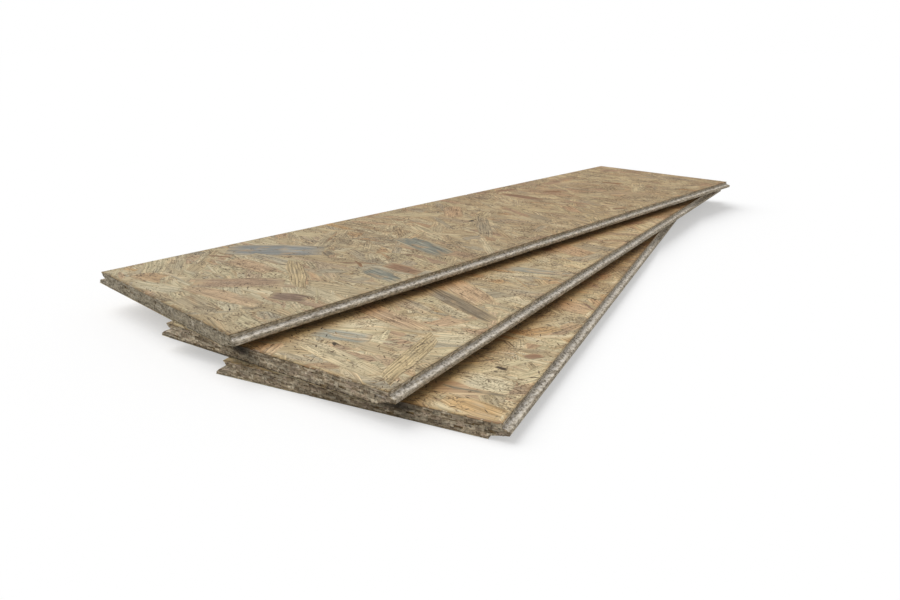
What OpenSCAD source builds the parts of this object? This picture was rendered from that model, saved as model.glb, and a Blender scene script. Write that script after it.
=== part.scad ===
// Three tongue-and-groove OSB flooring panels, laid flat and fanned like cards.
// X runs along the middle panel, Y points to its grooved edge, and Z is up.
// The origin is under the middle of the whole stack, on the floor.

/* [Panel] */
// Length of a panel, along its tongue and groove
panel_length = 1220; // [600:10:2500]
// Width of the upper face, from the tongue's shoulder to the edge of the groove
face_width = 320; // [200:5:700]
// Thickness of a panel
thickness = 18; // [18:1:25]

/* [Tongue] */
// How far the tongue stands out from the upper shoulder
tongue_reach = 8.4; // [6:0.2:12]
// Height of the middle of the tongue's tip above the underside
tongue_level = 9.4; // [9:0.1:10]
// Thickness of the tongue at its tip
tongue_tip = 4.8; // [3:0.1:5]
// Slope of the tongue's upper flank, in degrees
upper_slope = 10; // [4:1:12]
// Slope of the tongue's lower flank, in degrees
lower_slope = 4; // [2:0.5:6]
// Bevel along the two edges of the tip
tip_bevel = 1; // [0.4:0.1:1.4]
// How far the lower shoulder is set back from the upper one
lower_setback = 12.5; // [8:0.5:16]

/* [Groove] */
// Gap between a tongue and each wall of the groove that it enters
flank_gap = 0.25; // [0.1:0.05:0.6]
// Gap between the tongue's tip and the bottom of the groove
tip_gap = 0.8; // [0.4:0.1:1.5]
// Gap between the lower lip and the lower shoulder of the next panel
lip_gap = 0.5; // [0.2:0.1:2]
// Bevel on the two lips at the mouth of the groove
mouth_bevel = 3.6; // [0.5:0.1:4]
// Least height of the outer edge that the bevel leaves on a lip
lip_edge = 1.2; // [0.4:0.1:2]

/* [Fan] */
// Turn of the top panel from the middle one, in degrees
top_turn = -10.4; // [-20:0.1:20]
// Offset of the top panel along the middle one
top_slide = 4; // [-100:1:100]
// Offset of the top panel towards the middle one's groove
top_shift = 82; // [-100:1:100]
// Turn of the bottom panel from the middle one, in degrees
bottom_turn = 7.5; // [-20:0.1:20]
// Offset of the bottom panel along the middle one
bottom_slide = 6.5; // [-100:0.5:100]
// Offset of the bottom panel towards the middle one's groove
bottom_shift = -23; // [-100:1:100]

/* [Hidden] */

// How far the lower lip stands out past the upper one
lip_reach = lower_setback - lip_gap;
// Depth of the groove below the upper lip
groove_depth = tongue_reach + tip_gap;
tip_top = tongue_level + tongue_tip / 2;
tip_bottom = tongue_level - tongue_tip / 2;

// Turn, slide and shift of each panel, from the floor up
places = [
    [bottom_turn, bottom_slide, bottom_shift],
    [0, 0, 0],
    [top_turn, top_slide, top_shift]
];

// Corners of every panel as seen from above, and the middle of the box around them
edges = [-face_width / 2 - tongue_reach, face_width / 2 + lip_reach];
function placed(place, x, y) = [
    place[1] + x * cos(place[0]) - y * sin(place[0]),
    place[2] + x * sin(place[0]) + y * cos(place[0])
];
corners = [
    for (place = places)
        for (x = [-panel_length / 2, panel_length / 2])
            for (y = edges)
                placed(place, x, y)
];
xs = [for (corner = corners) corner[0]];
ys = [for (corner = corners) corner[1]];
middle = [(min(xs) + max(xs)) / 2, (min(ys) + max(ys)) / 2];

// Heights of the tongue's flanks at y, where the upper shoulder is at y = 0.
// The walls of the groove are the same flanks, moved apart by a gap.
function upper_flank(y, gap = 0) = tip_top + gap + (y + tongue_reach) * tan(upper_slope);
function lower_flank(y, gap = 0) = tip_bottom - gap - (y + tongue_reach) * tan(lower_slope);

// Cross-section of a panel: Y from the upper shoulder, Z from the underside
module section() {
    tip = -tongue_reach;
    tip_back = tip + tip_bevel;
    groove_floor = face_width - groove_depth;
    upper_lip = face_width;
    lower_lip = face_width + lip_reach;
    upper_mouth = upper_flank(0, flank_gap) + mouth_bevel;
    lower_mouth = lower_flank(lip_reach, flank_gap) - mouth_bevel;
    polygon([
        // Underside and lower lip
        [lower_setback, 0],
        [lower_lip, 0],
        [lower_lip, max(lower_mouth, lip_edge)],
        [lower_lip - mouth_bevel, lower_flank(lip_reach - mouth_bevel, flank_gap)],
        // Groove
        [groove_floor, lower_flank(-groove_depth, flank_gap)],
        [groove_floor, upper_flank(-groove_depth, flank_gap)],
        // Upper lip and upper face
        [upper_lip - mouth_bevel, upper_flank(-mouth_bevel, flank_gap)],
        [upper_lip, min(upper_mouth, thickness - lip_edge)],
        [upper_lip, thickness],
        [0, thickness],
        // Upper shoulder, tongue and lower shoulder
        [0, upper_flank(0)],
        [tip_back, upper_flank(tip_back)],
        [tip, tip_top - tip_bevel],
        [tip, tip_bottom + tip_bevel],
        [tip_back, lower_flank(tip_back)],
        [lower_setback, lower_flank(lower_setback)]
    ]);
}

module panel(layer) {
    place = places[layer];
    translate([place[1] - middle[0], place[2] - middle[1], layer * thickness])
        rotate(place[0])
            translate([-panel_length / 2, -face_width / 2, 0])
                rotate([90, 0, 90])
                    linear_extrude(panel_length)
                        section();
}

module bottom_panel() {
    color("#bda47c") panel(0);
}

module middle_panel() {
    color("#c2a87e") panel(1);
}

module top_panel() {
    color("#c7ad84") panel(2);
}

bottom_panel();
middle_panel();
top_panel();
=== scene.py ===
import math
import random

import bmesh
import bpy
from mathutils import Matrix, Vector, noise
from mathutils.bvhtree import BVHTree


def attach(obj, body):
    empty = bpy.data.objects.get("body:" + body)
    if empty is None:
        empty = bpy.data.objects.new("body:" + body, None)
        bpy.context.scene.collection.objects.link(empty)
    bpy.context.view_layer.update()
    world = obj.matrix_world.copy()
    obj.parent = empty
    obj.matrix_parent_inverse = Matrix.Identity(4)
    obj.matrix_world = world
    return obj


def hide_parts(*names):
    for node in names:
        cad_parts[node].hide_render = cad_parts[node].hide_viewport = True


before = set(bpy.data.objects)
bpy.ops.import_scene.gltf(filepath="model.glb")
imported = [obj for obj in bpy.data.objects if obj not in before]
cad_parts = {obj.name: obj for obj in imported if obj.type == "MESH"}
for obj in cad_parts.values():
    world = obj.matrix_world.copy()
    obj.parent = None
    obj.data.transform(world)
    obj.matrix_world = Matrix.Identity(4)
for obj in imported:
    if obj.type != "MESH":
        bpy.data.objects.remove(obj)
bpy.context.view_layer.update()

mm = 0.001
scene = bpy.context.scene
scene.view_settings.view_transform = "Standard"


def hexColour(code):
    # sRGB hex to the linear colour that Blender's sockets take
    channels = [int(code[i:i + 2], 16) / 255 for i in (0, 2, 4)]
    return tuple(c / 12.92 if c <= 0.04045 else ((c + 0.055) / 1.055) ** 2.4 for c in channels) + (1.0,)


def addNode(tree, kind, links=(), out=0, stops=(), **settings):
    # one node: its settings, its ramp stops, and its inputs by name or in order, as sockets, lists of
    # sockets or constants; a kind without Node in it is a shader node; out picks an output, or None all
    node = tree.nodes.new(kind if "Node" in kind else "ShaderNode" + kind)
    for name, value in settings.items():
        setattr(node, name, value)
    for place, code in stops:
        node.color_ramp.elements.new(place).color = hexColour(code)
    for spare in (0.0, 1.0) if stops else ():
        ramp = node.color_ramp.elements
        ramp.remove(next(stop for stop in ramp if stop.position == spare))
    for name, value in links.items() if isinstance(links, dict) else enumerate(links):
        for part in value if isinstance(value, list) else [value]:
            if isinstance(part, bpy.types.NodeSocket):
                tree.links.new(part, node.inputs[name])
            else:
                node.inputs[name].default_value = part
    return node.outputs if out is None else node.outputs[out]


def addObject(name, data):
    thing = bpy.data.objects.new(name, data)
    scene.collection.objects.link(thing)
    return thing


def flatPatch(name, low, right, upper, z):
    # a level rectangle that starts at low on both axes
    mesh = bpy.data.meshes.new(name)
    corners = [(low, low), (right, low), (right, upper), (low, upper)]
    mesh.from_pydata([(x, y, z) for x, y in corners], [], [(0, 1, 2, 3)])
    return mesh


def plainMesh(bm, name, finish):
    mesh = bpy.data.meshes.new(name)
    bm.to_mesh(mesh)
    bm.free()
    mesh.materials.append(finish)
    return mesh


# Where each panel lies and its section, read from the merged end face of its CAD solid.
# In a panel's own frame u runs along it from the near end, v from the tongue's upper
# shoulder to the groove, and w up from the underside.
def readPanel(nodeName):
    bm = bmesh.new()
    bm.from_mesh(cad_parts[nodeName].data)
    bmesh.ops.remove_doubles(bm, verts=bm.verts, dist=0.001 * mm)
    bmesh.ops.dissolve_limit(bm, angle_limit=math.radians(0.5), verts=bm.verts, edges=bm.edges)
    endFaces = sorted(bm.faces, key=lambda face: len(face.verts))[-2:]
    nearEnd, farEnd = sorted(endFaces, key=lambda face: face.calc_center_median().x)
    along = -nearEnd.normal
    up = Vector((0, 0, 1))
    across = up.cross(along)
    corners = [vert.co.copy() for vert in nearEnd.verts]
    bottom = min(corner.z for corner in corners)
    top = max(corner.z for corner in corners)
    close = 0.01 * mm  # corners that close to a height are level with it
    shoulder = min((c for c in corners if c.z > top - close), key=lambda c: c.dot(across))
    origin = Vector((shoulder.x, shoulder.y, bottom))
    place = Matrix((along, across, up)).transposed().to_4x4()
    place.translation = origin
    outline = [((c - origin).dot(across), c.z - bottom) for c in reversed(corners)]
    underside = [corner for corner in outline if corner[1] < close]
    start = outline.index(min(underside))
    panel = {
        "place": place,
        "outline": outline[start:] + outline[:start],
        "length": (farEnd.calc_center_median() - nearEnd.calc_center_median()).dot(along),
        "thickness": top - bottom,
        "faceWidth": max(v for v, w in outline if w > top - bottom - close),
        "backStart": min(underside)[0],
        "backEnd": max(underside)[0],
    }
    bm.free()
    return panel


panels = {name: readPanel(name) for name in ("bottom_panel", "middle_panel", "top_panel")}
print("panels read from the frame:", len(panels))


# Wood tones of the pressed strands and the share of the strands that has each.
# The ramp that colours a strand runs through them in this order.
strandWoods = [
    ("straw", "b7aa89", 20),
    ("cream", "c0b496", 12),
    ("sand", "ac9d7e", 18),
    ("tan", "a29070", 14),
    ("drab", "a19882", 12),
    ("peach", "b39a7b", 7),
    ("rose", "a28a71", 5),
    ("honey", "b3956a", 4),
    ("yellow", "b19e79", 4),
    ("dove", "97978a", 3),
    ("ash", "7a7b6e", 1),
    ("slate", "808a8c", 0.6),
    ("rust", "8a6645", 0.7),
    ("umber", "7b6759", 0.7),
    ("dun", "796e5a", 0.5),
]
barkTones = [("resin", "5a4630"), ("bark", "33281c")]  # kept out of the strands' own draw
barkStart = 0.94
barkEnd = 0.99
woodTone = {}  # where each tone sits on the ramp
allShares = sum(share for _, _, share in strandWoods)
shareBefore = 0
for woodName, _, woodShare in strandWoods:
    woodTone[woodName] = barkStart * (shareBefore + woodShare / 2) / allShares
    shareBefore += woodShare
for step, (woodName, _) in enumerate(barkTones):
    woodTone[woodName] = barkStart + (barkEnd - barkStart) * (step + 1) / len(barkTones)


def newFinish(name):
    # a material with an empty node tree
    material = bpy.data.materials.new(name)
    material.use_nodes = True
    material.node_tree.nodes.clear()
    return material, material.node_tree


def scaleFor(sizes):
    # a pattern's scale along each axis from its real size there, and 0 where it doesn't change
    return tuple(1 / size if size else 0 for size in sizes)


def besideTongue(tree, place, panel, inset, width):
    # 1 along a line that lies in from the tip of a panel's tongue, falling to 0 at a distance from it
    across = panel["place"].col[1].to_3d()
    tongueTip = panel["place"].translation.dot(across) + min(v for v, w in panel["outline"])
    reach = addNode(tree, "VectorMath", (place, across), out="Value", operation="DOT_PRODUCT")
    beside = addNode(tree, "Math", (reach, tongueTip + inset), operation="SUBTRACT")
    distance = addNode(tree, "Math", {0: beside}, operation="ABSOLUTE")
    return addNode(tree, "MapRange", (distance, 0.0, width, 1.0, 0.0), interpolation_type="SMOOTHSTEP")


# Patterns of the pressed faces. The first three run along a strand's grain and across it.
faceGrain = {
    "lines": (50 * mm, 2.4 * mm, 0),  # about three times as coarse as real ones, so that they show
    "checks": (13 * mm, 2.2 * mm, 0),
    "stains": (38 * mm, 14 * mm, 0),
    "rings": 4 * mm,
    "patches": 60 * mm,
    "crowds": 36 * mm,
    "specks": 8 * mm,
    "speckWarp": 2.5 * mm,
    "speckShift": 7 * mm,
    "grit": 2.6 * mm,
    "nearPale": (-0.62, -0.42),  # from and to, in metres along the stack, as the next two
    "nearClean": (-0.6, -0.2),
    "farWarm": (-0.55, 0.1),
    # strips of painted shade along the arrises
    "arrisShade": ((0, 7 * mm, "c2b49e"), (1, 4 * mm, "d8d0c6")),  # panel's axis, width of the strip, tint
    # width of the painted shadow beside the tongue of the panel above
    "shadowStrip": 30 * mm,
}


# Pressed softwood strands, hot-pressed and left unsanded: thin flat ribbons with fine
# grain along each one, dry and matt, straw to tan with odd pink, grey and rusty ones.
def pressedStrands(name, paleness, own=None, above=None):
    material, tree = newFinish(name)
    traits = {"tone": "Fac", "figure": "Fac", "grain": "Vector", "strandLocal": "Vector"}
    tone, figure, grain, local = [
        addNode(tree, "Attribute", out=out, attribute_name=trait) for trait, out in traits.items()
    ]
    # each strand has its own part of the noise
    ownNoise = addNode(tree, "Math", (tone, 90.0), operation="MULTIPLY")
    stops = [(woodTone[toneName], code) for toneName, code, *_ in strandWoods + barkTones]
    wood = addNode(tree, "ValToRGB", {"Fac": tone}, out="Color", stops=stops)

    # noise drawn out along the grain: its lines, short dark checks, and stains
    drawnOut = []
    for pattern, detail, roughness in (("lines", 4.0, 0.6), ("checks", 2.0, 0.5), ("stains", 2.0, 0.5)):
        scale = scaleFor(faceGrain[pattern])
        stretched = addNode(tree, "VectorMath", (grain, scale), operation="MULTIPLY")
        drawnOut.append(addNode(
            tree, "TexNoise",
            {"Vector": stretched, "W": ownNoise, "Scale": 1.0, "Detail": detail, "Roughness": roughness},
            out="Fac", noise_dimensions="4D",
        ))
    lines, checks, stains = drawnOut
    lineShade = addNode(tree, "MapRange", (lines, 0.32, 0.68, 0.51, 1.4))

    # growth rings on the strands that were cut flat through them; the wave node has a factor of 20 in it
    ringPlace = addNode(tree, "VectorMath", (grain, (0.08, 1.0, 0)), operation="MULTIPLY")
    rings = addNode(
        tree, "TexWave",
        {"Vector": ringPlace, "Scale": 2 * math.pi / (20 * faceGrain["rings"]), "Distortion": 0.45,
         "Detail": 1.0, "Detail Scale": 0.5, "Phase Offset": ownNoise},
        out="Fac", bands_direction="Y",
    )
    ringStrength = addNode(tree, "MapRange", (figure, 0.82, 1.0, 0.0, 0.6))
    thinRings = addNode(tree, "Math", (rings, 4.0), operation="POWER")
    ringDrop = addNode(tree, "Math", (thinRings, ringStrength), operation="MULTIPLY")
    ringShade = addNode(tree, "Math", (1.04, ringDrop), operation="SUBTRACT")

    # broad soft patches of dust and weather over the whole panel
    place = addNode(tree, "TexCoord", out="Object")
    patches = addNode(
        tree, "TexNoise",
        {"Vector": place, "Scale": 1 / faceGrain["patches"], "Detail": 3.0, "Roughness": 0.6},
        out="Fac",
    )
    patchShade = addNode(tree, "MapRange", (patches, 0.3, 0.7, 0.93, 1.06))
    alongStack = addNode(tree, "SeparateXYZ", {0: place}, out="X")
    start, end = faceGrain["nearPale"]
    nearShade = addNode(tree, "MapRange", (alongStack, start, end, 1.06, 1.0))

    # dark checks, and specks of bark up to 4 mm across in some cells; both crowd together in some
    # patches, and the few grey and brown strands are cleaner
    crowds = addNode(
        tree, "TexNoise", {"Vector": place, "Scale": 1 / faceGrain["crowds"], "Detail": 2.0}, out="Fac"
    )
    crowding = addNode(tree, "MapRange", (crowds, 0.36, 0.64, -0.08, 0.06))
    start, end = faceGrain["nearClean"]
    dirtier = addNode(tree, "MapRange", (alongStack, start, end, -0.015, 0.02))
    crowding = addNode(tree, "Math", (crowding, dirtier), operation="ADD")
    crowded = addNode(tree, "Math", (checks, crowding), operation="ADD")
    checked = addNode(tree, "MapRange", (crowded, 0.57, 0.72, 0.0, 0.75))
    speckWarp = addNode(
        tree, "TexNoise", {"Vector": place, "Scale": 1 / faceGrain["speckWarp"], "Detail": 2.0}, out="Color"
    )
    warpBy = (faceGrain["speckShift"], faceGrain["speckShift"], 0)
    speckPlace = addNode(tree, "VectorMath", (speckWarp, warpBy, place), operation="MULTIPLY_ADD")
    specks = addNode(tree, "TexVoronoi", {"Vector": speckPlace, "Scale": 1 / faceGrain["specks"]}, out=None)
    cell = addNode(tree, "SeparateXYZ", {0: specks["Color"]}, out=None)
    drawn = addNode(tree, "Math", (crowding, 2.0, cell["X"]), operation="MULTIPLY_ADD")
    speckSize = addNode(tree, "MapRange", (drawn, 0.5, 1.08, -0.1, 0.3))
    inSpeck = addNode(tree, "Math", (speckSize, specks["Distance"]), operation="SUBTRACT")
    speckDark = addNode(tree, "MapRange", {0: cell["Y"], 3: 0.4, 4: 0.95})
    specked = addNode(tree, "MapRange", (inSpeck, -0.02, 0.08, 0.0, speckDark))
    # grit of 2 mm and less between them
    grit = addNode(
        tree, "TexNoise", {"Vector": place, "Scale": 1 / faceGrain["grit"], "Detail": 2.0}, out="Fac"
    )
    crowdedGrit = addNode(tree, "Math", (grit, crowding), operation="ADD")
    gritty = addNode(tree, "MapRange", (crowdedGrit, 0.57, 0.67, 0.0, 0.7))
    bark = checked
    for other in (specked, gritty):
        bark = addNode(tree, "Math", (bark, other), operation="MAXIMUM")
    cleaner = addNode(tree, "MapRange", (tone, woodTone["yellow"], woodTone["ash"], 1.0, 0.35))
    barkPart = addNode(tree, "Math", (bark, cleaner), operation="MULTIPLY")

    # each strand a little lighter or darker than its neighbours, with a thin shadow at parts of its rim
    strandShade = addNode(tree, "MapRange", (figure, 0.0, 1.0, paleness - 0.06, paleness + 0.06))
    rimPlace = addNode(tree, "VectorMath", {0: local}, operation="ABSOLUTE")
    rimParts = addNode(tree, "SeparateXYZ", {0: rimPlace}, out=None)
    rim = addNode(tree, "Math", (rimParts["X"], rimParts["Y"]), operation="MAXIMUM")
    rimDepth = addNode(tree, "MapRange", (patches, 0.42, 0.58, 1.0, 0.7))
    rimShade = addNode(tree, "MapRange", (rim, 0.46, 0.5, 1.0, rimDepth))

    shade = lineShade
    for other in (ringShade, strandShade, rimShade, patchShade, nearShade):
        shade = addNode(tree, "Math", (shade, other), operation="MULTIPLY")

    # a strand thins out towards its rim, so its own colour fades into the straw around it
    streakyRim = addNode(tree, "Math", (lines, 0.5, rim), operation="MULTIPLY_ADD")
    fade = addNode(tree, "MapRange", (streakyRim, 0.58, 0.8, 0.0, 0.85))

    # pale fibres veil parts of the odd-coloured strands, and stains are warm in some parts, grey in others
    oddness = addNode(tree, "MapRange", (tone, woodTone["yellow"], woodTone["dove"], 0.0, 1.0))
    veil = addNode(tree, "MapRange", (stains, 0.52, 0.68, 0.0, 0.35))
    veiled = addNode(tree, "Math", (veil, oddness), operation="MULTIPLY")
    paler = addNode(tree, "Math", (fade, veiled), operation="MAXIMUM")
    warmPart = addNode(tree, "MapRange", (stains, 0.55, 0.75, 0.0, 0.45))
    greyPart = addNode(tree, "MapRange", (stains, 0.45, 0.25, 0.0, 0.5))
    for part, tint in ((paler, "b3a17f"), (warmPart, "b08d66"), (greyPart, "9d9583")):
        wood = addNode(tree, "Mix", {"Factor": part, 6: wood, 7: hexColour(tint)}, out=2, data_type="RGBA")
    shaded = addNode(tree, "HueSaturation", {"Value": shade, "Color": wood})

    # bark lies over it, and the face turns darker and warmer from close to its near end to past its middle
    start, end = faceGrain["farWarm"]
    farness = addNode(tree, "MapRange", (alongStack, start, end, 0.0, 1.0))
    layers = [(barkPart, "49341f", "MIX"), (farness, "f6ebdf", "MULTIPLY")]
    # painted shade: the face is darker in strips along the arrises of its near end and over its own tongue
    for axis, strip, shadeTint in faceGrain["arrisShade"] if own else ():
        inwards = own["place"].col[axis].to_3d()
        reach = addNode(tree, "VectorMath", (place, inwards), out="Value", operation="DOT_PRODUCT")
        arris = own["place"].translation.dot(inwards)
        links = (reach, arris, arris + strip, 1.0, 0.0)
        layers.append((addNode(tree, "MapRange", links), shadeTint, "MULTIPLY"))
    if above:
        # painted shadow: the strip beside the tongue of the panel above is darker and browner, as where
        # that panel shades it
        paintedShadowStrip = besideTongue(tree, place, above, 0.0, faceGrain["shadowStrip"])
        layers.append((paintedShadowStrip, "dfc8a8", "MULTIPLY"))
    for part, tint, blend in layers:
        links = {"Factor": part, 6: shaded, 7: hexColour(tint)}
        shaded = addNode(tree, "Mix", links, out=2, data_type="RGBA", blend_type=blend)

    relief = addNode(tree, "Math", (lines, barkPart), operation="SUBTRACT")
    bump = addNode(tree, "Bump", {"Strength": 0.35, "Distance": 0.3 * mm, "Height": relief})
    gloss = addNode(tree, "MapRange", (lines, 0.3, 0.7, 0.86, 0.72))
    shader = addNode(
        tree, "BsdfPrincipled",
        {"Base Color": shaded, "Roughness": gloss, "Specular IOR Level": 0.35, "Normal": bump},
    )
    addNode(tree, "OutputMaterial", {"Surface": shader}, out=None)
    return material


# Patterns of the cut ends and edges: along the panel, across it and up.
cutGrain = {
    "layers": (5 * mm, 5 * mm, 1.3 * mm),
    "fuzz": (5 * mm, 4 * mm, 2.6 * mm),
    "blots": (24 * mm, 24 * mm, 7 * mm),
    "wander": 30 * mm,
    "wanderRise": 3 * mm,
    # where the painted shadow under the tongue above lies on the ends
    "overhangShadeInset": 12 * mm,  # in from the tip of the tongue above
    "overhangShadeWidth": 32 * mm,
    "overhangShadeRise": (4.5 * mm, 11.5 * mm),
    "overhangShadeLevel": 0.12,
    "jointRagged": 4 * mm,
    "jointFade": (3.2 * mm, 5.2 * mm),
}


# Strand ends cut by a saw and edges cut by a shaping cutter: many thin layers seen from
# the side, greyer and duller than the faces, with dark gaps between them.
def cutStrands(name, tones, blot, perStrand=False, joint=1.0, above=None):
    material, tree = newFinish(name)
    cut = addNode(tree, "Attribute", out="Vector", attribute_name="cut")

    # thin layers that wander up and down
    wander = addNode(
        tree, "TexNoise", {"Vector": cut, "Scale": 1 / cutGrain["wander"], "Detail": 2.0}, out="Fac"
    )
    lift = addNode(tree, "CombineXYZ", {"Z": wander})
    links = (lift, (0, 0, cutGrain["wanderRise"]), cut)
    moved = addNode(tree, "VectorMath", links, operation="MULTIPLY_ADD")
    layerPlace = addNode(tree, "VectorMath", (moved, scaleFor(cutGrain["layers"])), operation="MULTIPLY")
    layers = addNode(tree, "TexVoronoi", {"Vector": layerPlace, "Scale": 1.0}, out=None)
    pick = addNode(tree, "SeparateXYZ", {0: layers["Color"]}, out="X")
    if perStrand:
        pick = addNode(tree, "Attribute", out="Fac", attribute_name="tone")
    wood = addNode(tree, "ValToRGB", {"Fac": pick}, out="Color", stops=tones)

    # blots of torn fibres, and dark pits
    fuzzPlace = addNode(tree, "VectorMath", (cut, scaleFor(cutGrain["fuzz"])), operation="MULTIPLY")
    fuzz = addNode(
        tree, "TexNoise", {"Vector": fuzzPlace, "Scale": 1.0, "Detail": 4.0, "Roughness": 0.7}, out="Fac"
    )
    fuzzDepth = 0.36 if perStrand else 0.44
    fuzzShade = addNode(tree, "MapRange", (fuzz, 0.34, 0.66, 0.96 - fuzzDepth, 0.96 + fuzzDepth))
    pitPlace = addNode(tree, "VectorMath", (fuzz, (1.2, 1.2, 1.2), fuzzPlace), operation="MULTIPLY_ADD")
    pits = addNode(tree, "TexVoronoi", {"Vector": pitPlace, "Scale": 1.0}, out="Distance")
    pitShade = addNode(tree, "MapRange", (pits, 0.2, 0.36, 0.48, 1.0))
    # broad blots where the wood is paler or darker
    blotPlace = addNode(tree, "VectorMath", (cut, scaleFor(cutGrain["blots"])), operation="MULTIPLY")
    blots = addNode(tree, "TexNoise", {"Vector": blotPlace, "Scale": 1.0, "Detail": 2.0}, out="Fac")
    blotShade = addNode(tree, "MapRange", (blots, 0.36, 0.64, 1.0 - blot, 1.0 + blot))
    gapShade = addNode(tree, "MapRange", (layers["Distance"], 0.45, 0.8, 1.0, 0.72))
    shades = [gapShade, pitShade, blotShade]
    height = addNode(tree, "SeparateXYZ", {0: cut}, out="Z")
    if above:
        # painted shadow under the tongue of the panel above, which hangs over the end
        place = addNode(tree, "TexCoord", out="Object")
        close = besideTongue(tree, place, above, cutGrain["overhangShadeInset"], cutGrain["overhangShadeWidth"])
        low, high = cutGrain["overhangShadeRise"]
        under = addNode(tree, "MapRange", (height, low, high))
        overhangShadow = addNode(tree, "Math", (close, under), operation="MULTIPLY")
        shades.append(addNode(tree, "MapRange", {0: overhangShadow, 3: 1.0, 4: cutGrain["overhangShadeLevel"]}))
    if joint < 1:
        # dirt and shade in the joint under the end, in a ragged line about 2 mm high
        uneven = addNode(tree, "Math", (fuzz, cutGrain["jointRagged"], height), operation="MULTIPLY_ADD")
        low, high = cutGrain["jointFade"]
        shades.append(addNode(tree, "MapRange", (uneven, low, high, joint, 1.0)))
    shade = fuzzShade
    for other in shades:
        shade = addNode(tree, "Math", (shade, other), operation="MULTIPLY")
    shaded = addNode(tree, "HueSaturation", {"Value": shade, "Color": wood})
    if not perStrand:
        # pale sawdust on the ledges that face up, and painted light: it is thickest in the tongue's inner
        # corner, where the shoulder's shade falls, and also lies on the tongue's tip
        ledge = addNode(tree, "Attribute", out="Fac", attribute_name="ledge")
        dustAndLight = addNode(tree, "MapRange", (ledge, 0.3, 1.3, 0.0, 1.3))
        patchy = addNode(tree, "MapRange", (fuzz, 0.42, 0.58, 0.2, 1.0))
        dustedAndLit = addNode(tree, "Math", (dustAndLight, patchy), operation="MULTIPLY")
        clear = addNode(tree, "Math", (dustedAndLit, pitShade), operation="MULTIPLY")
        shaded = addNode(
            tree, "Mix", {"Factor": clear, 6: shaded, 7: hexColour("f0e9de")}, out=2, data_type="RGBA"
        )
    bump = addNode(tree, "Bump", {"Strength": 0.5, "Distance": 0.5 * mm, "Height": fuzz})
    rough = addNode(tree, "MapRange", (fuzz, 0.3, 0.7, 0.95, 0.82))
    shader = addNode(
        tree, "BsdfPrincipled",
        {"Base Color": shaded, "Roughness": rough, "Specular IOR Level": 0.2, "Normal": bump},
    )
    addNode(tree, "OutputMaterial", {"Surface": shader}, out=None)
    return material


edgeTones = [(0.1, "d0c3ab"), (0.3, "b6a68b"), (0.5, "ddd2bd"), (0.7, "9f8e75"), (0.9, "c5b7a0")]
endTones = [
    (0.08, "bcae95"), (0.25, "a39279"), (0.42, "c6b9a1"),
    (0.58, "97876e"), (0.74, "b19e89"), (0.92, "87775f"),
]
greyTones = [(0.1, "aa9f89"), (0.3, "948974"), (0.5, "b3a996"), (0.7, "867a65"), (0.9, "9f947f")]
coreTones = [(0.2, "86714f"), (0.5, "715d42"), (0.8, "927d5d")]
bottom, middle, top = panels.values()
faceFinish = {
    "bottom_panel": pressedStrands("bottomPressedStrands", paleness=1.26, own=bottom, above=middle),
    "middle_panel": pressedStrands("middlePressedStrands", paleness=1.18, own=middle, above=top),
    "top_panel": pressedStrands("topPressedStrands", paleness=1.0, own=top),
}
underFinish = pressedStrands("underPressedStrands", paleness=1.1)
edgeFinish = cutStrands("milledTongueStrands", edgeTones, blot=0.14)
grooveFinish = cutStrands("milledGrooveStrands", endTones, blot=0.14)
endFinish = {
    "bottom_panel": cutStrands("bottomSawnStrandEnds", endTones, 0.28, True, above=middle),
    "middle_panel": cutStrands("middleSawnStrandEnds", endTones, 0.28, True, joint=0.22, above=top),
    "top_panel": cutStrands("topSawnStrandEnds", greyTones, 0.1, True, joint=0.6),
}
coreFinish = cutStrands("pressedStrandCore", coreTones, blot=0.1)
print("materials made:", len(bpy.data.materials))


# The tree that lays strands on a flat patch: scattered ones and placed ones, each a thin
# blade with a ragged outline, pressed down to its own depth under the patch's plane.
treeInputs = {
    "NodeSocketFloat": [
        "Strands per m2", "Shortest", "Longest", "Narrowest", "Widest", "Shallowest", "Deepest",
        "Thickness", "Spread", "First tone", "Last tone", "Ragged", "Taper", "Slant",
    ],
    "NodeSocketInt": ["Cuts along", "Cuts across", "Seed"],
    "NodeSocketObject": ["Placed"],
    "NodeSocketMaterial": ["Finish"],
}
bladeShape = {
    "lean": 0.03 * mm,
    "raggedWave": 16 * mm,
}


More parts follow.
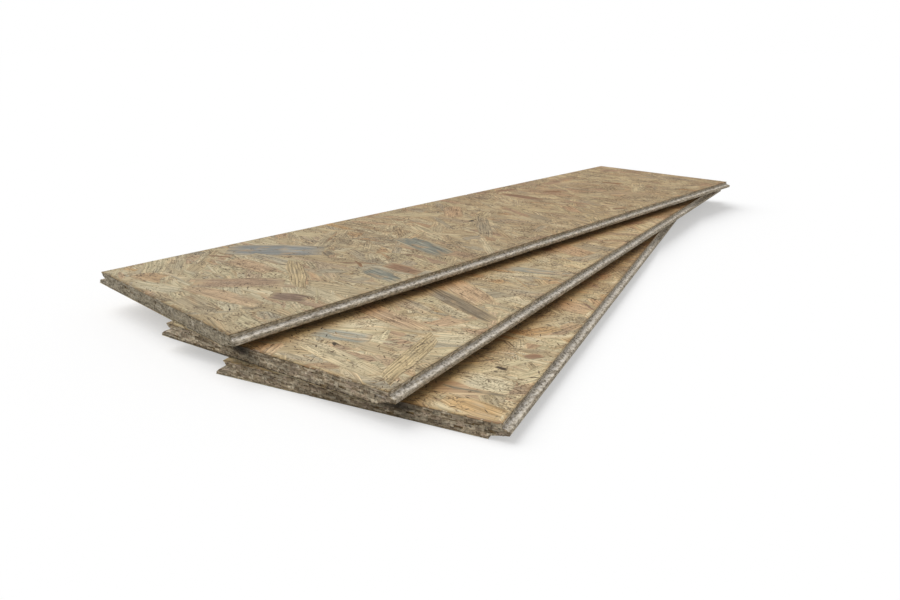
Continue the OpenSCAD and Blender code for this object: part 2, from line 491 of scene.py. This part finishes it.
def buildStrandTree():
    tree = bpy.data.node_groups.new("layStrands", "GeometryNodeTree")
    tree.interface.new_socket("Geometry", in_out="INPUT", socket_type="NodeSocketGeometry")
    identifiers = {}
    for kind, names in treeInputs.items():
        for name in names:
            socket = tree.interface.new_socket(name, in_out="INPUT", socket_type=kind)
            identifiers[name] = socket.identifier
    tree.interface.new_socket("Geometry", in_out="OUTPUT", socket_type="NodeSocketGeometry")
    given = addNode(tree, "NodeGroupInput", out=None)
    position = addNode(tree, "GeometryNodeInputPosition")

    points = addNode(
        tree, "GeometryNodeDistributePointsOnFaces",
        {"Mesh": given["Geometry"], "Density": given["Strands per m2"], "Seed": given["Seed"]},
        out="Points",
    )
    draws = [
        ("tone", given["First tone"], given["Last tone"]),
        ("figure", 0.0, 1.0),
        ("strandLength", given["Shortest"], given["Longest"]),
        ("strandWidth", given["Narrowest"], given["Widest"]),
        ("strandDepth", given["Shallowest"], given["Deepest"]),
        ("strandTurn", -1.0, 1.0),
    ]
    for step, (name, low, high) in enumerate(draws):
        seed = addNode(tree, "Math", (given["Seed"], step + 1.0), operation="ADD")
        value = addNode(tree, "FunctionNodeRandomValue", {2: low, 3: high, "Seed": seed}, out=1)
        if name == "strandTurn":
            # most strands lie across the panel, and fewer the further they turn from that
            size = addNode(tree, "Math", {0: value}, operation="ABSOLUTE")
            swing = addNode(tree, "Math", (value, size), operation="MULTIPLY")
            value = addNode(tree, "Math", (swing, given["Spread"], math.pi / 2), operation="MULTIPLY_ADD")
        points = addNode(
            tree, "GeometryNodeStoreNamedAttribute",
            {"Geometry": points, "Name": name, "Value": value},
            data_type="FLOAT", domain="POINT",
        )

    placedMesh = addNode(tree, "GeometryNodeObjectInfo", {"Object": given["Placed"]}, out="Geometry")
    placed = addNode(tree, "GeometryNodeMeshToPoints", {"Mesh": placedMesh})
    allPoints = addNode(tree, "GeometryNodeJoinGeometry", {"Geometry": [points, placed]})
    own = {
        name: addNode(tree, "GeometryNodeInputNamedAttribute", {"Name": name}, data_type="FLOAT")
        for name, _, _ in draws
    }
    bladeSize = addNode(
        tree, "CombineXYZ", {"X": own["strandLength"], "Y": own["strandWidth"], "Z": given["Thickness"]}
    )

    blade = addNode(
        tree, "GeometryNodeMeshCube",
        {"Vertices X": given["Cuts along"], "Vertices Y": given["Cuts across"], "Vertices Z": 2},
        out="Mesh",
    )
    blade = addNode(
        tree, "GeometryNodeStoreNamedAttribute",
        {"Geometry": blade, "Name": "strandLocal", "Value": position},
        data_type="FLOAT_VECTOR", domain="POINT",
    )
    turn = addNode(tree, "CombineXYZ", {"Z": own["strandTurn"]})
    turned = addNode(tree, "FunctionNodeEulerToRotation", {0: turn})
    strands = addNode(
        tree, "GeometryNodeInstanceOnPoints",
        {"Points": allPoints, "Instance": blade, "Rotation": turned, "Scale": bladeSize},
    )
    half = addNode(tree, "Math", (given["Thickness"], 0.5, own["strandDepth"]), operation="MULTIPLY_ADD")
    drop = addNode(tree, "Math", (half, -1.0), operation="MULTIPLY")
    dropBy = addNode(tree, "CombineXYZ", {"Z": drop})
    pressed = addNode(
        tree, "GeometryNodeTranslateInstances",
        {"Instances": strands, "Translation": dropBy, "Local Space": False},
    )
    real = addNode(tree, "GeometryNodeRealizeInstances", {"Geometry": pressed})

    grain = addNode(
        tree, "GeometryNodeInputNamedAttribute", {"Name": "strandLocal"}, data_type="FLOAT_VECTOR"
    )
    grainPlace = addNode(tree, "VectorMath", (grain, bladeSize), operation="MULTIPLY")
    grained = addNode(
        tree, "GeometryNodeStoreNamedAttribute",
        {"Geometry": real, "Name": "grain", "Value": grainPlace},
        data_type="FLOAT_VECTOR", domain="POINT",
    )

    # a blade narrows towards its ends, and its ends are cut at a slant of its own
    inBlade = addNode(tree, "SeparateXYZ", {0: grain}, out=None)
    aside = addNode(tree, "SeparateXYZ", {0: grainPlace}, out="Y")
    toEnd = addNode(tree, "Math", (inBlade["X"], 2.0), operation="MULTIPLY")
    pinch = addNode(tree, "Math", (toEnd, toEnd), operation="MULTIPLY")
    ownSlant = addNode(tree, "MapRange", {0: own["figure"], 3: -1.0, 4: 1.0})
    shape = addNode(tree, "CombineXYZ", {"X": ownSlant, "Y": pinch})
    most = addNode(tree, "Math", (given["Taper"], -1.0), operation="MULTIPLY")
    limits = addNode(tree, "CombineXYZ", {"X": given["Slant"], "Y": most})
    shaped = addNode(tree, "VectorMath", (shape, limits), operation="MULTIPLY")
    reshaped = addNode(tree, "VectorMath", {0: shaped, "Scale": aside}, operation="SCALE")
    reshape = addNode(
        tree, "VectorRotate", {"Vector": reshaped, "Angle": own["strandTurn"]}, rotation_type="Z_AXIS"
    )
    # and it leans by a few hundredths of a millimetre, so that no two blades lie in one plane
    lean = addNode(tree, "Math", (inBlade["X"], ownSlant), operation="MULTIPLY")
    leanBy = addNode(tree, "Math", (lean, bladeShape["lean"]), operation="MULTIPLY")
    tilt = addNode(tree, "CombineXYZ", {"Z": leanBy})
    reshape = addNode(tree, "VectorMath", (reshape, tilt), operation="ADD")

    ownNoise = addNode(tree, "Math", (own["tone"], 400.0), operation="MULTIPLY")
    wave = addNode(
        tree, "TexNoise",
        {"Vector": position, "W": ownNoise, "Scale": 1 / bladeShape["raggedWave"], "Detail": 1.0},
        out="Color", noise_dimensions="4D",
    )
    centred = addNode(tree, "VectorMath", (wave, (0.5, 0.5, 0.5)), operation="SUBTRACT")
    # the noise swings by about a quarter either way
    flat = addNode(tree, "VectorMath", (centred, (4, 4, 0)), operation="MULTIPLY")
    shift = addNode(tree, "VectorMath", {0: flat, "Scale": given["Ragged"]}, operation="SCALE")
    moveBy = addNode(tree, "VectorMath", (shift, reshape), operation="ADD")
    ragged = addNode(tree, "GeometryNodeSetPosition", {"Geometry": grained, "Offset": moveBy})
    finished = addNode(tree, "GeometryNodeSetMaterial", {"Geometry": ragged, "Material": given["Finish"]})
    addNode(tree, "NodeGroupOutput", {0: finished}, out=None)
    return tree, identifiers


strandTree, strandInputs = buildStrandTree()


def placedPoints(name, strands):
    # loose vertices with one value of each strand attribute, for the strands that are listed or set by rule
    mesh = bpy.data.meshes.new(name)
    mesh.from_pydata([strand["at"] for strand in strands], [], [])
    for attribute in ("tone", "figure", "strandLength", "strandWidth", "strandDepth", "strandTurn"):
        layer = mesh.attributes.new(attribute, "FLOAT", "POINT")
        for value, strand in zip(layer.data, strands):
            value.value = strand[attribute]
    return addObject(name, mesh)


def layStrands(name, width, height, settings, placed):
    # runs the tree on a flat patch that reaches past the panel, and gives back a plain mesh
    margin = settings["Longest"] / 2
    carrier = addObject(name, flatPatch(name, -margin, width + margin, height + margin, 0))
    points = placedPoints(name + "Placed", placed)
    modifier = carrier.modifiers.new("strands", "NODES")
    modifier.node_group = strandTree
    for key, value in dict(settings, Placed=points).items():
        modifier[strandInputs[key]] = value
    bpy.context.view_layer.update()
    evaluated = carrier.evaluated_get(bpy.context.evaluated_depsgraph_get())
    mesh = bpy.data.meshes.new_from_object(evaluated)
    carrier.modifiers.remove(modifier)
    for spare in (carrier, points):
        bpy.data.objects.remove(spare)
    return mesh


def trimStrands(bm, width, height):
    # saws the strands off at the panel's edges and closes each cut
    for point, normal in (
        ((0, 0, 0), (-1, 0, 0)),
        ((0, 0, 0), (0, -1, 0)),
        ((width, height, 0), (1, 0, 0)),
        ((width, height, 0), (0, 1, 0)),
    ):
        everything = bm.verts[:] + bm.edges[:] + bm.faces[:]
        cut = bmesh.ops.bisect_plane(
            bm, geom=everything, dist=0.001 * mm, plane_co=point, plane_no=normal, clear_outer=True
        )
        edges = [item for item in cut["geom_cut"] if isinstance(item, bmesh.types.BMEdge)]
        edges = [edge for edge in edges if edge.is_boundary]
        bmesh.ops.holes_fill(bm, edges=edges, sides=0)


def dropHidden(bm, width, height, spacing):
    # strands that no ray from above meets lie wholly under others and are left out
    bm.faces.ensure_lookup_table()
    toneLayer = bm.verts.layers.float["tone"]
    tree = BVHTree.FromBMesh(bm)
    seen = set()
    for column in range(int(width / spacing)):
        for row in range(int(height / spacing)):
            start = Vector(((column + 0.5) * spacing, (row + 0.5) * spacing, 1.0))
            _, _, met, _ = tree.ray_cast(start, Vector((0, 0, -1)))
            if met is not None:
                seen.add(round(bm.faces[met].verts[0][toneLayer], 7))
    hidden = [vert for vert in bm.verts if round(vert[toneLayer], 7) not in seen]
    bmesh.ops.delete(bm, geom=hidden, context="VERTS")


def finishPiece(name, mesh, place, replaces=None):
    mesh.transform(place)
    mesh.update()
    piece = addObject(name, mesh)
    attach(piece, "root")
    if replaces:
        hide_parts(replaces)
    print("  ", name, "triangles:", sum(len(face.vertices) - 2 for face in mesh.polygons))


# The panel's own solid with its milled tongue and groove; the face strands lie in the
# skin that is taken off its two faces.
boardBody = {
    "skin": 0.7 * mm,
    "endInset": 1.0 * mm,
    "ringStep": 1.1 * mm,
    "faceStep": 22 * mm,
    "stationStep": 4.5 * mm,
    "roughness": 0.22 * mm,
    "roughGrain": 5 * mm,
    "chipDepth": 0.5 * mm,
    "chipSize": (40 * mm, 9 * mm, 5 * mm),
    "chipFrom": 0.42,  # level of the noise over which the edge is chipped
    "sharpAngle": 32,
    "shoulder": 1 * mm,  # to either side of the tongue's root
    "rootDustAndLight": 1.45,
    "flankFall": 0.7,  # dust and painted light lost from the root of the tongue to its tip
    "tipPaintedLight": 0.45,
    "lipDust": 0.45,
    "farFall": 0.2,  # part of the dust and painted light that is lost towards the far end
}


def sectionRing(panel):
    # section points close together on the milled edges, with their outward directions, and their dust and
    # painted light
    outline = panel["outline"]
    low = boardBody["skin"]
    high = panel["thickness"] - boardBody["skin"]
    ring = []
    for (v0, w0), (v1, w1) in zip(outline, outline[1:] + outline[:1]):
        length = math.hypot(v1 - v0, w1 - w0)
        flatFace = abs(v1 - v0) > panel["faceWidth"] / 2
        count = max(1, round(length / boardBody["faceStep" if flatFace else "ringStep"]))
        outward = ((w1 - w0) / length, (v0 - v1) / length)
        for step in range(count):
            share = step / count
            v = v0 + (v1 - v0) * share
            w = w0 + (w1 - w0) * share
            if v > boardBody["shoulder"]:
                dustAndLight = boardBody["lipDust"] * max(0.0, outward[1])  # lower lip of the groove
            # the upper flank of the tongue gets the most, with painted light at its root, where the
            # shoulder's shade falls
            elif outward[1] > 0.9:
                dustAndLight = boardBody["rootDustAndLight"] - boardBody["flankFall"] * share  # upper flank of the tongue
            else:
                # painted light on the tongue's tip, which faces sideways and lies in shade
                onTip = v < -boardBody["shoulder"] and outward[1] > -0.5
                dustAndLight = boardBody["tipPaintedLight"] if onTip else 0.0
            ring.append((v, min(max(w, low), high), outward, flatFace, dustAndLight))
    return ring


def buildBody(panel, seed):
    ring = sectionRing(panel)
    inset = boardBody["endInset"]
    span = panel["length"] - 2 * inset
    stations = round(span / boardBody["stationStep"])
    chipLong, chipWide, chipHigh = boardBody["chipSize"]
    verts = []
    faces = []
    for station in range(stations + 1):
        u = inset + span * station / stations
        for v, w, (nv, nw), flatFace, _ in ring:
            place = Vector((u, v, w))
            rough = 0.5 + 0.5 * noise.noise(place / boardBody["roughGrain"] + Vector((seed, 0, 0)))
            chipPlace = Vector((u / chipLong, v / chipWide, w / chipHigh + seed))
            chip = max(0.0, noise.noise(chipPlace) - boardBody["chipFrom"])
            depth = 0.0 if flatFace else boardBody["roughness"] * rough + boardBody["chipDepth"] * chip * 2
            verts.append((u, v - nv * depth, w - nw * depth))
    count = len(ring)
    for station in range(stations):
        for step in range(count):
            a = station * count + step
            b = station * count + (step + 1) % count
            faces.append((a, b, b + count, a + count))
    faces.append(tuple(reversed(range(count))))
    faces.append(tuple(range(stations * count, (stations + 1) * count)))
    mesh = bpy.data.meshes.new("board")
    mesh.from_pydata(verts, [], faces)
    cut = mesh.attributes.new("cut", "FLOAT_VECTOR", "POINT")
    for value, vert in zip(cut.data, verts):
        value.vector = (vert[0] + seed, vert[1], vert[2])
    ledge = mesh.attributes.new("ledge", "FLOAT", "POINT")
    for index, value in enumerate(ledge.data):
        *_, dustAndLight = ring[index % count]
        value.value = dustAndLight * (1 - boardBody["farFall"] * (index // count) / stations)
    for finish in (edgeFinish, coreFinish, grooveFinish):
        mesh.materials.append(finish)
    for index, face in enumerate(mesh.polygons):
        v, _, _, flatFace, _ = ring[index % count]
        face.use_smooth = True
        if index >= stations * count or flatFace:
            face.material_index = 1  # core, under the face strands and the sawn ends
        elif v > panel["faceWidth"] / 2:
            face.material_index = 2  # groove
    mesh.set_sharp_from_angle(angle=math.radians(boardBody["sharpAngle"]))
    return mesh


# Strands pressed into the faces. Real ones are 60 to 150 mm long and 10 to 40 mm wide.
faceStrands = {
    "Strands per m2": 6000.0,
    "Shortest": 50 * mm,
    "Longest": 150 * mm,
    "Narrowest": 9 * mm,
    "Widest": 36 * mm,
    "Shallowest": 0.07 * mm,
    "Deepest": 0.5 * mm,
    "Thickness": 0.4 * mm,
    "Spread": math.radians(70),
    "First tone": 0.0,
    "Last tone": barkStart - 0.01,
    "Ragged": 2.6 * mm,
    "Taper": 0.25,
    "Slant": 1.0,
    "Cuts along": 6,
    "Cuts across": 3,
}
# Narrow slivers that broke off the strands.
faceSlivers = {
    "Strands per m2": 4000.0,
    "Shortest": 15 * mm,
    "Longest": 75 * mm,
    "Narrowest": 1.5 * mm,
    "Widest": 8 * mm,
    "Shallowest": 0.07 * mm,
    "Deepest": 0.3 * mm,
    "Thickness": 0.3 * mm,
    "Spread": math.radians(55),
    "First tone": 0.0,
    "Last tone": barkStart - 0.01,
    "Ragged": 1.2 * mm,
    "Taper": 0.5,
    "Slant": 1.5,
    "Cuts along": 4,
    "Cuts across": 2,
}
# Bark crumbs and resin streaks on them.
faceCrumbs = {
    "Strands per m2": 3200.0,
    "Shortest": 2 * mm,
    "Longest": 10 * mm,
    "Narrowest": 0.8 * mm,
    "Widest": 2.6 * mm,
    "Shallowest": 0.0,
    "Deepest": 0.03 * mm,
    "Thickness": 0.3 * mm,
    "Spread": math.radians(80),
    "First tone": barkStart,
    "Last tone": 0.999,
    "Ragged": 0.4 * mm,
    "Taper": 0.7,
    "Slant": 1.0,
    "Cuts along": 3,
    "Cuts across": 2,
}


# The strands that stand out on each upper face: millimetres along from the near end and in
# from the groove's edge, length, width, turn from the panel's length, and wood.
standOuts = {
    "top_panel": [
        (218, 76, 142, 60, -49, "slate"),
        (262, 145, 26, 17, 75, "dun"),
        (188, 112, 80, 28, -81, "drab"),
        (152, 118, 90, 32, -84, "peach"),
        (145, 46, 34, 6, -62, "rust"),
        (101, 174, 112, 38, -43, "rose"),
        (60, 202, 128, 28, -79, "peach"),
        (173, 194, 116, 23, 58, "yellow"),
        (385, 214, 122, 44, 80, "ash"),
        (420, 158, 46, 25, 20, "straw"),
        (246, 279, 66, 30, 85, "ash"),
        (284, 279, 62, 28, 95, "rust"),
        (111, 265, 48, 28, -64, "umber"),
        (115, 304, 46, 13, -84, "rose"),
        (260, 217, 52, 5, -53, "rust"),
        (258, 219, 34, 5, -110, "rust"),
        (585, 89, 92, 36, 45, "peach"),
        (554, 160, 13, 8, 20, "bark"),
        (778, 94, 100, 26, -85, "rust"),
        (948, 48, 60, 26, -5, "rose"),
        (863, 110, 40, 18, -47, "rust"),
        (1032, 147, 44, 14, -75, "rust"),
        (1174, 56, 54, 30, -47, "rose"),
        (809, 30, 46, 20, -17, "rust"),
        (816, 292, 30, 10, -27, "rust"),
        (661, 173, 90, 14, -109, "rose"),
        (806, 208, 60, 12, -90, "rose"),
        (471, 239, 34, 16, -15, "dove"),
        (590, 281, 50, 16, 13, "drab"),
        (624, 120, 30, 5, -84, "dun"),
    ],
    "middle_panel": [
        (238, 246, 142, 27, 66, "dun"),
        (81, 194, 70, 29, -75, "dove"),
        (77, 291, 116, 25, 10, "yellow"),
        (411, 263, 82, 25, -80, "dove"),
        (282, 230, 104, 40, 60, "peach"),
        (540, 263, 72, 44, 70, "peach"),
        (58, 202, 9, 6, 60, "bark"),
        (530, 232, 34, 16, -22, "rust"),
        (769, 283, 40, 20, -32, "rose"),
        (677, 285, 34, 5, -106, "dun"),
        (420, 304, 30, 12, -47, "dove"),
    ],
    "bottom_panel": [
        (20, 283, 66, 30, 80, "honey"),
        (73, 271, 64, 36, 85, "cream"),
        (323, 291, 52, 38, 75, "peach"),
        (379, 283, 58, 38, 95, "straw"),
        (111, 277, 12, 7, 80, "bark"),
        (332, 310, 30, 4, -135, "umber"),
        (154, 297, 22, 12, -58, "rust"),
        (50, 272, 70, 5, -88, "dun"),
    ],
}
standOutDraw = {
    "toneSpread": 0.001,
    "shallowest": 0.03 * mm,
    "deepest": 0.05 * mm,
    "ringed": 0.94,  # figure of the yellow strands, which show growth rings
    "plain": 0.45,
}
faceLayout = {
    "seedStep": 50,
    "raySpacing": 1.5 * mm,
}


def standOutStrands(name, faceWidth, rng):
    strands = []
    for along, fromGroove, length, width, turn, wood in standOuts[name]:
        strands.append({
            "at": (along * mm, faceWidth - fromGroove * mm, 0),
            "tone": woodTone[wood] + rng.uniform(-standOutDraw["toneSpread"], standOutDraw["toneSpread"]),
            "figure": standOutDraw["ringed" if wood == "yellow" else "plain"],
            "strandLength": length * mm,
            "strandWidth": width * mm,
            "strandDepth": rng.uniform(standOutDraw["shallowest"], standOutDraw["deepest"]),
            "strandTurn": math.radians(turn),
        })
    return strands


def buildFace(name, width, height, placed, finish, seed, crowding):
    # crowding below 1 thins out the scatter; where strands are listed, it keeps to the common woods
    bm = bmesh.new()
    for step, settings in enumerate((faceStrands, faceSlivers, faceCrumbs)):
        chosen = dict(settings, Seed=seed + faceLayout["seedStep"] * step, Finish=finish)
        chosen["Strands per m2"] *= crowding
        if placed and settings is not faceCrumbs:
            chosen["Last tone"] = woodTone["honey"]
        mesh = layStrands(name + str(step), width, height, chosen, placed if step == 0 else [])
        if settings is faceCrumbs:
            dropHidden(bm, width, height, faceLayout["raySpacing"])
        bm.from_mesh(mesh)
        trimStrands(bm, width, height)
        bpy.data.meshes.remove(mesh)
    return plainMesh(bm, name, finish)


# The sawn ends: thin layers of cut strands, row on row up the section.
sawnEnd = {
    "thinnest": 1.1 * mm,
    "thickest": 2.8 * mm,
    "shortest": 2.5 * mm,
    "longest": 10 * mm,
    "deepest": 0.5 * mm,
    "jointDepth": 0.85 * mm,
    "missing": 0.04,
    "clearance": 0.02 * mm,  # to the planes of the two faces
    "leastRow": 0.3 * mm,
    "leastLength": 1 * mm,
    "fill": 0.98,  # part of its row that a sliver fills
    "turn": 0.04,  # radians, either way
}
endStrands = {
    "Strands per m2": 0.0,  # every sliver is placed by rule
    "Longest": 2 * mm,  # only sets the patch's margin
    "Thickness": 1.6 * mm,
    "Ragged": 0.5 * mm,
    "Taper": 0.0,
    "Slant": 0.0,
    "Cuts along": 3,
    "Cuts across": 2,
}


def sectionSpan(outline, w):
    # where a level line at height w enters and leaves the section
    crossings = []
    for (v0, w0), (v1, w1) in zip(outline, outline[1:] + outline[:1]):
        if min(w0, w1) <= w <= max(w0, w1) and w0 != w1:
            crossings.append(v0 + (v1 - v0) * (w - w0) / (w1 - w0))
    return min(crossings), max(crossings)


def endLayers(panel, rng, flip):
    strands = []
    low = sawnEnd["clearance"]
    top = panel["thickness"] - sawnEnd["clearance"]
    while low < top - sawnEnd["leastRow"]:
        high = min(low + rng.uniform(sawnEnd["thinnest"], sawnEnd["thickest"]), top)
        spans = [sectionSpan(panel["outline"], w) for w in (low, (low + high) / 2, high)]
        v = min(span[0] for span in spans)
        last = max(span[1] for span in spans)
        while v < last - sawnEnd["leastLength"]:
            length = min(rng.uniform(sawnEnd["shortest"], sawnEnd["longest"]), last - v)
            if rng.random() > sawnEnd["missing"]:
                strands.append({
                    "at": ((-v - length / 2) if flip else (v + length / 2), (low + high) / 2, 0),
                    "tone": rng.random(),
                    "figure": rng.random(),
                    "strandLength": length,
                    "strandWidth": (high - low) * sawnEnd["fill"],
                    "strandDepth": rng.random() ** 2 * sawnEnd["deepest"],
                    "strandTurn": rng.uniform(-sawnEnd["turn"], sawnEnd["turn"]),
                })
                if low < sawnEnd["thinnest"]:
                    strands[-1]["strandDepth"] = sawnEnd["jointDepth"]  # broken arris along the underside
            v += length
        low = high
    return strands


def buildEnds(name, panel, finish, seed):
    rng = random.Random(seed)
    farTurn = Matrix(((0, 0, 1), (1, 0, 0), (0, 1, 0))).to_4x4()
    farTurn.translation = (panel["length"], 0, 0)
    nearTurn = Matrix(((0, 0, -1), (-1, 0, 0), (0, 1, 0))).to_4x4()
    ends = bmesh.new()
    for turn, flip in ((nearTurn, True), (farTurn, False)):
        slivers = endLayers(panel, rng, flip)
        mesh = layStrands(name, 1 * mm, 1 * mm, dict(endStrands, Finish=finish), slivers)
        mesh.transform(turn)
        for vert in mesh.vertices:
            # keeps each sliver inside the section's outline at its own height
            vert.co.z = min(max(vert.co.z, sawnEnd["clearance"]), panel["thickness"] - sawnEnd["clearance"])
            first, last = sectionSpan(panel["outline"], vert.co.z)
            vert.co.y = min(max(vert.co.y, first), last)
        ends.from_mesh(mesh)
        bpy.data.meshes.remove(mesh)
    both = plainMesh(ends, name, finish)
    cut = both.attributes.new("cut", "FLOAT_VECTOR", "POINT")
    for value, vert in zip(cut.data, both.vertices):
        value.vector = vert.co
    return both


stack = {
    "firstSeed": 11,
    "seedStep": 7,
    "underSeed": 3,  # added for the underside
    "underCrowding": 0.6,
}
for order, (nodeName, panel) in enumerate(panels.items()):
    title = nodeName.replace("_panel", "Panel")
    seed = stack["firstSeed"] + stack["seedStep"] * order
    length = panel["length"]
    print(title)
    finishPiece(title + "Board", buildBody(panel, seed), panel["place"], nodeName)
    topLift = Matrix.Translation((0, 0, panel["thickness"]))
    placed = standOutStrands(nodeName, panel["faceWidth"], random.Random(seed))
    finish = faceFinish[nodeName]
    upper = buildFace(title + "Upper", length, panel["faceWidth"], placed, finish, seed, crowding=1.0)
    finishPiece(title + "UpperStrands", upper, panel["place"] @ topLift)
    underTurn = Matrix.Translation((0, panel["backEnd"], 0)) @ Matrix.Rotation(math.pi, 4, "X")
    backWidth = panel["backEnd"] - panel["backStart"]
    underSeed = seed + stack["underSeed"]
    crowding = stack["underCrowding"]
    under = buildFace(title + "Under", length, backWidth, [], underFinish, underSeed, crowding)
    finishPiece(title + "UnderStrands", under, panel["place"] @ underTurn)
    ends = buildEnds(title + "Ends", panel, endFinish[nodeName], seed)
    finishPiece(title + "SawnEnds", ends, panel["place"])
print("panels dressed")


# Studio: a wide white floor, soft light from above and behind, and the photograph's camera
studio = {
    "floorHalf": 40.0,
    "floorDrop": 0.4 * mm,
    "floorWhite": "ffffff",
    "floorBounce": "e2e2e2",
    "floorGlow": 0.45,
    "keyStrength": 2.6,
    "keyAngle": 60,
    "keyTilt": (38, 0, -166),
    "skyStrength": 0.35,
}
camera = {
    "place": (-1.0769, -0.5738, 0.3345),
    "heading": 32.97,
    "pitch": 19.55,
    "lens": 28.55,
    "sensor": 36.0,
    "reach": 200.0,
}


def seenByEye(tree):
    # 1 for what the camera sees, also in a gloss or through glass, and 0 for light that falls on the panels
    path = addNode(tree, "LightPath", out=None)
    seen = path["Is Camera Ray"]
    for ray in ("Is Glossy Ray", "Is Transmission Ray"):
        seen = addNode(tree, "Math", (seen, path[ray]), operation="MAXIMUM")
    return seen


def buildStudio():
    half = studio["floorHalf"]
    mesh = flatPatch("studioFloor", -half, half, half, -studio["floorDrop"])
    paint, tree = newFinish("whiteStudioPaint")  # matt white to the eye, greyer where it lights the panels
    seen = seenByEye(tree)
    links = {"Factor": seen, 6: hexColour(studio["floorBounce"]), 7: hexColour(studio["floorWhite"])}
    colour = addNode(tree, "Mix", links, out=2, data_type="RGBA")
    shader = addNode(tree, "BsdfDiffuse", {"Color": colour})
    # to the eye a part of the floor's white glows by itself, which keeps the shadow pale
    glow = addNode(tree, "Emission", {"Strength": 1.0})
    glowPart = addNode(tree, "Math", (seen, studio["floorGlow"]), operation="MULTIPLY")
    lit = addNode(tree, "MixShader", {"Fac": glowPart, 1: shader, 2: glow})
    addNode(tree, "OutputMaterial", {"Surface": lit}, out=None)
    mesh.materials.append(paint)
    floor = addObject("studioFloor", mesh)

    key = bpy.data.lights.new("softKey", "SUN")
    key.energy = studio["keyStrength"]
    key.angle = math.radians(studio["keyAngle"])
    addObject("softKey", key).rotation_euler = [math.radians(angle) for angle in studio["keyTilt"]]

    world = bpy.data.worlds.new("softSky")
    world.use_nodes = True
    tree = world.node_tree
    tree.nodes.clear()
    seen = seenByEye(tree)
    level = addNode(tree, "MapRange", {0: seen, 3: studio["skyStrength"], 4: 1.0})
    sky = addNode(tree, "Background", {"Color": (1, 1, 1, 1), "Strength": level})
    addNode(tree, "OutputWorld", {"Surface": sky}, out=None)
    scene.world = world


def buildCamera():
    lens = bpy.data.cameras.new("photoCamera")
    lens.lens = camera["lens"]
    lens.sensor_width = camera["sensor"]
    lens.clip_end = camera["reach"]
    eye = addObject("photoCamera", lens)
    eye.location = camera["place"]
    eye.rotation_euler = (math.radians(90 - camera["pitch"]), 0, math.radians(camera["heading"] - 90))
    scene.camera = eye


buildStudio()
buildCamera()
print("studio and camera ready")
